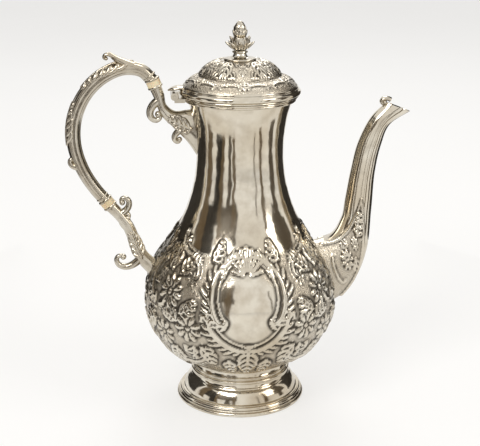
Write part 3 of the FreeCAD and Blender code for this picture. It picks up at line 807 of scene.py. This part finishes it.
# %% Mouth wire, lid edge and dome
mouth = [(34.65, 216.05), (36.4, 216.05)] + arc((37.2, 216.15), (38.3, 216.7), (38.1, 217.6), 6)
mouth += arc((38.2, 217.7), (38.9, 218.3), (38.2, 218.95), 6) + [(34.65, 218.95), (34.65, 216.05)]
settle(lathe("mouth_wire", mouth, RING_STEPS, 30), "pot", SILVER, "silver", "mouth_rim")
edge = [(32.25, 219.35), (39.4, 219.35)] + arc((39.5, 219.4), (40.1, 219.75), (39.7, 220.25), 5)
edge += arc((39.8, 220.35), (41.5, 222.2), (40.2, 224.2), 12)
edge += [(40.0, 224.4)] + arc((40.0, 224.5), (39.9, 224.95), (39.5, 225.15), 4)
edge += [(32.25, 225.15), (32.25, 219.35)]
lid_edge = lathe("lid_edge", edge, RING_STEPS, 30)

DOME_UNIT, DOME_STEPS = 30.0, 420
brim = arc((39.3, 226.1), (35.25, 230.0), (28.6, 233.0), 24)
crown = arc((28.4, 233.05), (22.25, 240.1), (11.5, 243.35), 34)
dome_outside = [(39.5, 225.25), (39.5, 225.9)] + brim + crown + [(8.0, 243.38), (2.1, 243.4)]
dome_inside = [(2.1, 242.25), (11.0, 242.2)] + arc((11.4, 242.15), (21.6, 239.0), (27.6, 231.9), 8)
dome_inside += arc((28.0, 231.7), (34.6, 228.8), (38.2, 225.25), 6)
dome = lathe("lid_top", dome_outside + dome_inside + [dome_outside[0]], DOME_STEPS, 50)
dome_radii = np.array([r for r, z in (brim + crown)[::-1]])
dome_heights = np.array([z for r, z in (brim + crown)[::-1]])


def dome_height(v):
    return float(np.interp(v, dome_radii, dome_heights))


def on_dome(turn, flip):
    def place(u, v):
        angle = math.radians(turn) + flip * u / DOME_UNIT
        slope = (dome_height(v + 0.3) - dome_height(v - 0.3)) / 0.6
        out = Vector((-slope * math.cos(angle), -slope * math.sin(angle), 1)).normalized()
        return Vector((v * math.cos(angle), v * math.sin(angle), dome_height(v))), out

    return place


def dome_sixth():
    """Half of a sixth of the dome, from the rib of one leaf to the middle of the next flower."""
    strokes = leaf((0, 13.5), (0, 27.5), 0, 7, 4, 0.9)
    strokes += daisy((15.7, 22), 4.6, 8, 0)
    strokes += scroll((8.0, 33.2), 0, 17, 40, 240, 0.9, 0.8, raffle=1.8, lip=False)
    strokes += leaf((7.5, 17), (11.5, 15.0), 1, 3.2, 3, 0.8)
    strokes += leaf((10, 27.5), (4.0, 28.5), 1, 3.2, 3, 0.8)
    strokes += leaf((15.7, 36.5), (15.7, 29.0), 0, 3.6, 4, 0.9)
    for spot in ((0, 36.4), (9.5, 21.5), (8.2, 24.6), (15.7, 14.5), (12.6, 35.5), (3.8, 35.8), (0, 30.4)):
        strokes += bead(spot, 0.75)
    return strokes


dome_punches = [make_punches("punches", dome_sixth(), on_dome(turn, flip))
                for turn in range(0, 360, 60) for flip in (-1, 1)]
DOME_INNER, DOME_OUTER = 12.2, 38.8
x, y, z = (points_of(dome) / MM).T
reach = np.hypot(x, y)
chosen = np.abs(z - np.interp(reach, dome_radii, dome_heights)) < 0.15
chosen &= (reach > DOME_INNER) & (reach < DOME_OUTER)
relief = press(dome, join("dome_punches", dome_punches), chosen, 0.003)
tarnish(dome, relief, chosen.astype(float), 5, 0.2)
print("dome relief up to", round(relief.max(), 2), "mm, over", int(chosen.sum()), "points")
settle(dome, "lid", SILVER, "silver", "lid_dome")

# %% [markdown]
# The cast pieces have sections that change along a bent path. A grid is rolled up to make each one:
# every row of the grid becomes one section, and the last row is drawn to a point to close it.
# A smooth path through a few points keeps the bends as fair as the real casting's.

# %% Rolling a grid along a path
def smooth_line(points, count):
    """Points evenly spread along a smooth curve through the given ones (any number of columns)."""
    knots = np.array(points, float)
    run = np.concatenate([[0], np.cumsum(np.linalg.norm(np.diff(knots[:, :2], axis=0), axis=1))])
    slopes = np.gradient(knots, run, axis=0)
    where = np.linspace(0, run[-1], count)
    index = np.clip(np.searchsorted(run, where, side="right") - 1, 0, len(run) - 2)
    size = (run[index + 1] - run[index])[:, None]
    t = ((where - run[index]) / size[:, 0])[:, None]
    return ((2 * t ** 3 - 3 * t ** 2 + 1) * knots[index] + (t ** 3 - 2 * t ** 2 + t) * size * slopes[index]
            + (3 * t ** 2 - 2 * t ** 3) * knots[index + 1] + (t ** 3 - t ** 2) * size * slopes[index + 1])


def roll(name, rings, smooth=40, closed=True):
    """A skin over sections, each an array of points in millimetres."""
    if closed:
        ends = [np.tile(ring.mean(axis=0), (len(ring), 1)) for ring in (rings[0], rings[-1])]
        rings = np.concatenate([ends[:1], rings, ends[1:]])
    rows, across = rings.shape[:2]
    bpy.ops.mesh.primitive_grid_add(x_subdivisions=across, y_subdivisions=rows - 1)
    piece = bpy.context.object
    piece.name = name
    wrapped = np.concatenate([rings, rings[:, :1]], axis=1)
    move_points(piece, wrapped * MM)
    return tidy(piece, smooth)


def rod_rings(points, count=40, across=20, flat=1.0, reeds=0, depth=0.0):
    """Round sections along a path of (x, z, radius) points that lies in the pot's middle plane."""
    line = smooth_line(points, count)
    ahead = np.gradient(line[:, :2], axis=0)
    ahead /= np.linalg.norm(ahead, axis=1)[:, None]
    phi = np.arange(across) / across * 2 * np.pi
    rings = np.empty((count, across, 3))
    for row, (x, z, radius) in enumerate(line):
        reach = radius * (1 + depth * np.cos(reeds * phi))
        rings[row, :, 0] = x - ahead[row, 1] * np.cos(phi) * reach
        rings[row, :, 1] = np.sin(phi) * reach * flat
        rings[row, :, 2] = z + ahead[row, 0] * np.cos(phi) * reach
    return rings


def oval_rings(sections, count, across, wall=0.0, ribs=0.0):
    """Oval sections through (x, z, x, z, half width) rows, drawn in by a wall; ribs ridge the upper part."""
    middles = [((a + c) / 2, (b + d) / 2, a, b, c, d, w) for a, b, c, d, w in sections]
    phi = np.arange(across) / across * 2 * np.pi
    rings = np.empty((count, across, 3))
    for row, (_, _, ax, az, bx, bz, width) in enumerate(smooth_line(middles, count)):
        half = np.array([(ax - bx) / 2, (az - bz) / 2])
        half *= 1 - wall / np.linalg.norm(half)
        share = np.clip((row / count - 0.34) / 0.12, 0, 1) * np.clip((0.97 - row / count) / 0.06, 0, 1)
        reach = 1 + ribs * share * (np.abs(np.cos(3 * phi)) - 0.5)
        rings[row, :, 0] = (ax + bx) / 2 + half[0] * np.cos(phi) * reach
        rings[row, :, 1] = (width - wall) * np.sin(phi) * reach
        rings[row, :, 2] = (az + bz) / 2 + half[1] * np.cos(phi) * reach
    return rings


def volute(name, start, heading, length, turn, thick, thin, flat=1.25):
    """A rod that winds up more and more tightly and ends in a ball."""
    steps = 26
    weights = np.linspace(0.4, 1.6, steps) ** 1.5
    angles = np.radians(heading) + np.radians(turn) * np.cumsum(weights) / weights.sum()
    stride = length / steps * np.linspace(1.35, 0.65, steps)
    x = start[0] + np.concatenate([[0], np.cumsum(np.cos(angles) * stride)])
    z = start[1] + np.concatenate([[0], np.cumsum(np.sin(angles) * stride)])
    points = list(zip(x, z, np.linspace(thick, thin, steps + 1)))
    stem = roll(name, rod_rings(points, 44, 16, flat))
    bpy.ops.mesh.primitive_uv_sphere_add(segments=20, ring_count=12, radius=thin * 1.7 * MM,
                                         location=(x[-1] * MM, 0, z[-1] * MM), scale=(1, flat, 1))
    ball = bpy.context.object
    bpy.ops.object.shade_smooth()
    return join(name, [stem, ball])


def ferrule(place, heading, radius, thick):
    """A round wire ring round a rod, across its heading in degrees."""
    bpy.ops.mesh.primitive_torus_add(
        major_segments=40, minor_segments=12, major_radius=radius * MM, minor_radius=thick * MM,
        location=(place[0] * MM, 0, place[1] * MM), rotation=(0, math.radians(90 - heading), 0),
    )
    bpy.ops.object.shade_smooth()
    return bpy.context.object


def seat(piece, depth=0.5):
    """Draw the points that lie inside the body out to the middle of its wall."""
    points = points_of(piece) / MM
    reach = np.hypot(points[:, 0], points[:, 1])
    wall = np.array([pear(z) - depth if BODY_FLOOR < z < BODY_TOP else 0.0 for z in points[:, 2]])
    deep = reach < wall
    points[deep, :2] *= (wall[deep] / reach[deep])[:, None]
    move_points(piece, points * MM)


def lobes(name, strokes, place):
    """Raised strokes that lie on a casting, as solid rounded ridges."""
    return tidy(make_punches(name, strokes, place), 50)


# %% [markdown]
# A pointed leaf on the lid's edge covers the hinge from above. It clears the knuckles as the lid swings.

# %% The lug over the hinge
LUG = [(-37.0, 224.8, 1.5), (-42.0, 225.3, 1.55), (-46.0, 224.5, 1.25), (-49.0, 223.4, 0.45)]
lug = roll("lug", rod_rings(LUG, 30, 24, 3.6))
settle(join("lid_edge", [lid_edge, lug]), "lid", SILVER, "silver", "lid_rim")

# %% [markdown]
# The spout is cast in two halves and soldered: wide where it leaves the belly, then a slim ribbed neck that swings
# out to a beak. Its sections are ovals given by an upper point, a lower point and a half width.
# The inside is the same skin drawn in by the wall, and the root ends in the middle of the belly's wall.
# A pointed panel of chasing climbs each side. On it u runs round the spout and v along it.

# %% The spout
SPOUT = [(42.5, 114, 61.5, 67, 18), (56, 115, 72.5, 73, 16), (66, 120, 84.3, 87.5, 13),
         (71.7, 130, 90.9, 107, 10.4), (74.5, 144, 93.1, 137, 8.6), (78.2, 166.5, 94.8, 165, 7.6),
         (82.5, 185, 98.3, 183, 7), (91, 202.5, 104.5, 198, 6.2), (101, 213, 118, 206.5, 5)]
SPOUT_ROWS, SPOUT_ACROSS, SPOUT_RUN, SPOUT_ROUND = 230, 144, 143.0, 14.0
SPOUT_WALL, SPOUT_RIBS = 1.2, 0.045
outer = oval_rings(SPOUT, SPOUT_ROWS, SPOUT_ACROSS, ribs=SPOUT_RIBS)
inner = oval_rings(SPOUT, 40, SPOUT_ACROSS, SPOUT_WALL)[::-1]
spout = roll("pot_spout", np.concatenate([outer, inner, outer[:1]]), 40, closed=False)


def on_spout(aim):
    """A finder of places on the spout, with u run from an angle round it in degrees."""
    def spot(u, v):
        row = float(np.clip(v / SPOUT_RUN, 0, 0.999)) * (SPOUT_ROWS - 1)
        column = (aim / 360 + u / SPOUT_ROUND / (2 * math.pi)) % 1 * SPOUT_ACROSS
        i, j = int(row), int(column)
        a, b = row - i, column - j
        k = (j + 1) % SPOUT_ACROSS
        return (outer[i, j] * (1 - a) * (1 - b) + outer[i + 1, j] * a * (1 - b)
                + outer[i, k] * (1 - a) * b + outer[i + 1, k] * a * b)

    def place(u, v):
        side = Vector(spot(u + 0.4, v) - spot(u - 0.4, v))
        along = Vector(spot(u, v + 0.8) - spot(u, v - 0.8))
        return Vector(spot(u, v)), side.cross(along).normalized()

    return place


PANEL_V, PANEL_U = (13, 24, 38, 54, 72), (16.5, 13.5, 9.5, 5.0, 0.0)
panel = [[((way * u, v), 1.7 - v * 0.012, 1.6 - v * 0.011) for v, u in zip(PANEL_V, PANEL_U)]
         for way in (-1, 1)]
panel += scroll((0, 15.5), 0, 24, 40, 250, 1.3, 1.3, lip=False)
panel += daisy((0, 27), 5.6, 9) + daisy((0, 39.5), 3.8, 8)
panel += leaf((0, 45), (0, 63), 0, 3.6, 4, 1.0)
for way in (-1, 1):
    panel += leaf((way * 4.5, 33), (way * 9.2, 27), way, 3.2, 3, 1.0) + bead((way * 4.6, 45.5), 0.8)
spout_punches = [make_punches("punches", panel, on_spout(aim)) for aim in (90, 270)]
nearest = KDTree(SPOUT_ROWS * SPOUT_ACROSS)
for i, point in enumerate(outer.reshape(-1, 3)):
    nearest.insert(point, i)
nearest.balance()
found = [nearest.find(point)[1:] for point in points_of(spout) / MM]
index, gap = np.array([i for i, far in found]), np.array([far for i, far in found])
panel_u = np.abs(index % SPOUT_ACROSS / SPOUT_ACROSS % 0.5 - 0.25) * 2 * np.pi * SPOUT_ROUND
panel_v = index // SPOUT_ACROSS / (SPOUT_ROWS - 1) * SPOUT_RUN
PRESSED_ROUND, PRESSED_LOW, PRESSED_HIGH = 20, 5, 76
chosen = (gap < 0.05) & (panel_u < PRESSED_ROUND) & (panel_v > PRESSED_LOW) & (panel_v < PRESSED_HIGH)
relief = press(spout, join("spout_punches", spout_punches), chosen, 0.003, 2)
field = chosen & (panel_u < np.interp(panel_v, PANEL_V, PANEL_U))
tarnish(spout, relief, field.astype(float), 5, 0.4)
seat(spout)
print("spout relief up to", round(relief.max(), 2), "mm")
settle(spout, "pot", SILVER, "silver", "spout")
settle(volute("spout_curl", (104.0, 214.8), 150, 11, 300, 1.7, 1.1, 1.9), "pot", CAST, "silver", "spout_scroll")

# %% [markdown]
# The handle is a C of cast silver between two brackets. A pale insulator at each break keeps it cool.
# Scrolls wind off it, ring mouldings close its ends, and a leaf lies along its top for the thumb.

# %% The handle
GRIP = [(-59.1, 230.3, 4.2), (-65.9, 236.8, 4.3), (-76.9, 238.8, 4.5), (-91, 234, 4.7), (-104.5, 221.5, 4.7),
        (-112.3, 204, 4.7), (-113.1, 187, 4.6), (-108.3, 170, 4.4), (-100.1, 155.8, 4.3), (-93.2, 147.2, 4.2)]
RING, RING_WIRE, RING_BEAD = 4.3, 1.0, 0.6
grip = [roll("grip", rod_rings(GRIP, 150, 48, 1.0, 6, 0.06))]
grip += [ferrule(spot, heading, RING, thick) for spot, heading, thick in (
    ((-59.4, 231.0), 112, RING_WIRE), ((-61.2, 233.4), 128, RING_BEAD),
    ((-93.6, 147.8), -52, RING_WIRE), ((-95.5, 150.0), -50, RING_BEAD))]
grip.append(volute("grip_spur", (-109.0, 171.5), -170, 15, -300, 2.6, 1.0))
grip = join("handle_grip_cast", grip)
tarnish_creases(grip)
settle(grip, "pot", CAST, "silver", "handle_grip")


def on_grip(path, lean):
    """A finder of places on a rod, with u run from an angle round it in degrees and v along it."""
    line = smooth_line(path, 200)
    ahead = np.gradient(line[:, :2], axis=0)
    ahead /= np.linalg.norm(ahead, axis=1)[:, None]
    run = np.concatenate([[0], np.cumsum(np.linalg.norm(np.diff(line[:, :2], axis=0), axis=1))])

    def place(u, v):
        row = int(np.clip(np.searchsorted(run, v), 0, 199))
        phi = math.radians(lean) + u / 4.6
        out = Vector((-ahead[row, 1] * math.cos(phi), math.sin(phi), ahead[row, 0] * math.cos(phi)))
        return Vector((line[row, 0], 0, line[row, 1])) + out * float(line[row, 2]), out

    return place


THUMB = [(-71.5, 240.5, 2.6), (-78, 242.8, 2.6), (-83.5, 245.6, 2.1), (-88.0, 249.2, 1.0)]
thumb = roll("thumb", rod_rings(THUMB, 30, 20, 1.7))
thumb_tip = volute("thumb_tip", (-85.5, 247.0), 145, 9, 250, 1.5, 0.8, 1.9)
wrap = leaf((0, 16), (0, 52), 0, 9, 7, 1.3) + leaf((0, 90), (0, 62), 0, 8, 6, 1.1)
thumb = join("thumb_leaf_cast", [thumb, thumb_tip, lobes("wrap", wrap, on_grip(GRIP, 180))])
tarnish_creases(thumb)
settle(thumb, "pot", CAST, "silver", "thumb_leaf")

UPPER = [(-28, 211, -28, 175, 7), (-36.5, 210, -36.5, 188, 5.6), (-44.5, 209.5, -45.5, 197.5, 4.6),
         (-49.7, 213.5, -53.2, 205.5, 4.2), (-51.7, 222.0, -59.0, 219.6, 4.2), (-53.7, 228.2, -61.5, 225.0, 4.2)]


def on_upper(side):
    """A finder of places on one side of the upper bracket, where a leaf lies."""
    def place(u, v):
        spot = Vector((-31.5 - v * 0.75, side * (6.2 - v * 0.07), 196.5 + u * 0.9 + v * 0.35))
        return spot, Vector((0, side, 0))

    return place


def finish_bracket(name, pieces, node):
    """Join a bracket's castings, seat its root in the body's wall and settle it."""
    bracket = join(name, pieces)
    seat(bracket)
    tarnish_creases(tidy(bracket, 45))
    settle(bracket, "pot", CAST, "silver", node)


upper = [roll("upper_bracket_cast", oval_rings(UPPER, 60, 32)),
         volute("upper_hook", (-53.5, 217.5), 205, 26, 300, 3.3, 1.4),
         volute("upper_shelf", (-40.5, 196.0), 205, 14, 260, 2.6, 1.1),
         ferrule((-57.3, 226.0), 112, RING, RING_WIRE)]
upper += [lobes("root", leaf((0, 3), (0, 24), 0, 7, 5, 1.0), on_upper(side)) for side in (-1, 1)]
finish_bracket("upper_bracket_cast", upper, "upper_bracket")

LOWER = [(-90.74, 144.05, 4.2), (-84, 136.5, 3.9), (-78.5, 128.5, 3.9), (-74.5, 118.5, 4.0), (-69.9, 107, 4.7),
         (-59, 95, 5.8)]
lower = [roll("lower_bracket_cast", rod_rings(LOWER, 80, 32, 1.0, 6, 0.05)),
         volute("lower_a", (-84.5, 137.0), 20, 22, 300, 2.8, 1.2),
         volute("lower_b", (-77.5, 126.0), 150, 21, -300, 2.7, 1.2),
         volute("lower_c", (-69.5, 106.0), 235, 30, -280, 3.0, 1.3),
         ferrule((-90.2, 143.4), -52, RING, RING_WIRE)]
lower += [lobes("root", leaf((0, 44), (0, 24), 0, 8, 5, 1.1), on_grip(LOWER, lean)) for lean in (90, 270)]
finish_bracket("lower_bracket_cast", lower, "lower_bracket")

# %% [markdown]
# The finial is a bud in a leafy cup. One petal is made from a ball drawn out to a leaf shape, and the others are
# copies of it, leaned out and turned round the axis in rows.

# %% The finial
def petal(length, width, thick):
    """A pattern petal, in millimetres, that stands on the floor's middle."""
    bpy.ops.mesh.primitive_uv_sphere_add(segments=14, ring_count=10, radius=1.0)
    piece = bpy.context.object
    points = points_of(piece)
    up = (points[:, 2] + 1) / 2
    taper = 1.15 - 0.75 * up ** 1.6
    crease = 1 - 0.30 * np.cos(2 * np.arctan2(points[:, 1], points[:, 0])) * (1 - up)
    shaped = np.stack([points[:, 0] * width * taper, points[:, 1] * thick * crease, up * length], axis=1)
    move_points(piece, shaped * MM)
    bpy.ops.object.shade_smooth()
    return piece


def row_of(piece, count, radius, height, lean, turn=0.0):
    """Copies of a petal in a ring; lean tips them outward."""
    copies = []
    for i in range(count):
        only(piece)
        bpy.ops.object.duplicate()
        copy = bpy.context.object
        angle = 2 * math.pi * (i + turn) / count
        copy.rotation_euler = (math.radians(lean), 0, angle + math.pi / 2)
        copy.location = (radius * math.cos(angle) * MM, radius * math.sin(angle) * MM, height * MM)
        bpy.ops.object.transform_apply(location=True, rotation=True, scale=True)
        copies.append(copy)
    return copies


foot = [(2.1, 243.45), (10.8, 243.45)] + arc((10.9, 243.6), (11.0, 244.4), (10.2, 244.9), 5)
foot += [(9.0, 245.1)] + arc((8.6, 245.2), (5.4, 246.0), (4.4, 247.6), 8)
foot += [(4.2, 248.2)] + arc((4.4, 248.3), (5.4, 249.0), (4.4, 249.7), 6)
foot += [(4.2, 249.95), (2.1, 249.95), (2.1, 243.45)]
settle(lathe("finial_foot", foot, 96, 30), "lid", CAST, "silver", "finial_base")
long_leaf, short_leaf, scale_leaf = petal(8.6, 2.9, 1.0), petal(6.6, 2.4, 0.9), petal(5.2, 2.1, 0.9)
cup = [(2.1, 250.05)] + arc((3.6, 250.1), (6.6, 253.4), (6.2, 258.6), 10) + [(2.1, 259.4), (2.1, 250.05)]
calyx = [lathe("finial_cup", cup, 48, 40)]
calyx += row_of(long_leaf, 8, 3.4, 250.3, 50) + row_of(short_leaf, 8, 4.0, 253.6, 30, 0.5)
settle(join("finial_leaves", calyx), "lid", CAST, "silver", "finial_calyx")
egg = [(0.0, 259.55)] + arc((3.4, 259.6), (4.3, 263.4), (1.2, 269.2), 12) + [(0.0, 269.9)]
bud = [lathe("finial_egg", egg, 40, 40)]
bud += row_of(scale_leaf, 8, 3.2, 258.8, 16) + row_of(scale_leaf, 7, 3.1, 261.2, 6, 0.5)
bud += row_of(scale_leaf, 5, 2.4, 263.8, -8)
settle(join("finial_scales", bud), "lid", CAST, "silver", "finial_bud")
for pattern in (long_leaf, short_leaf, scale_leaf):
    only(pattern)
    bpy.ops.object.delete()
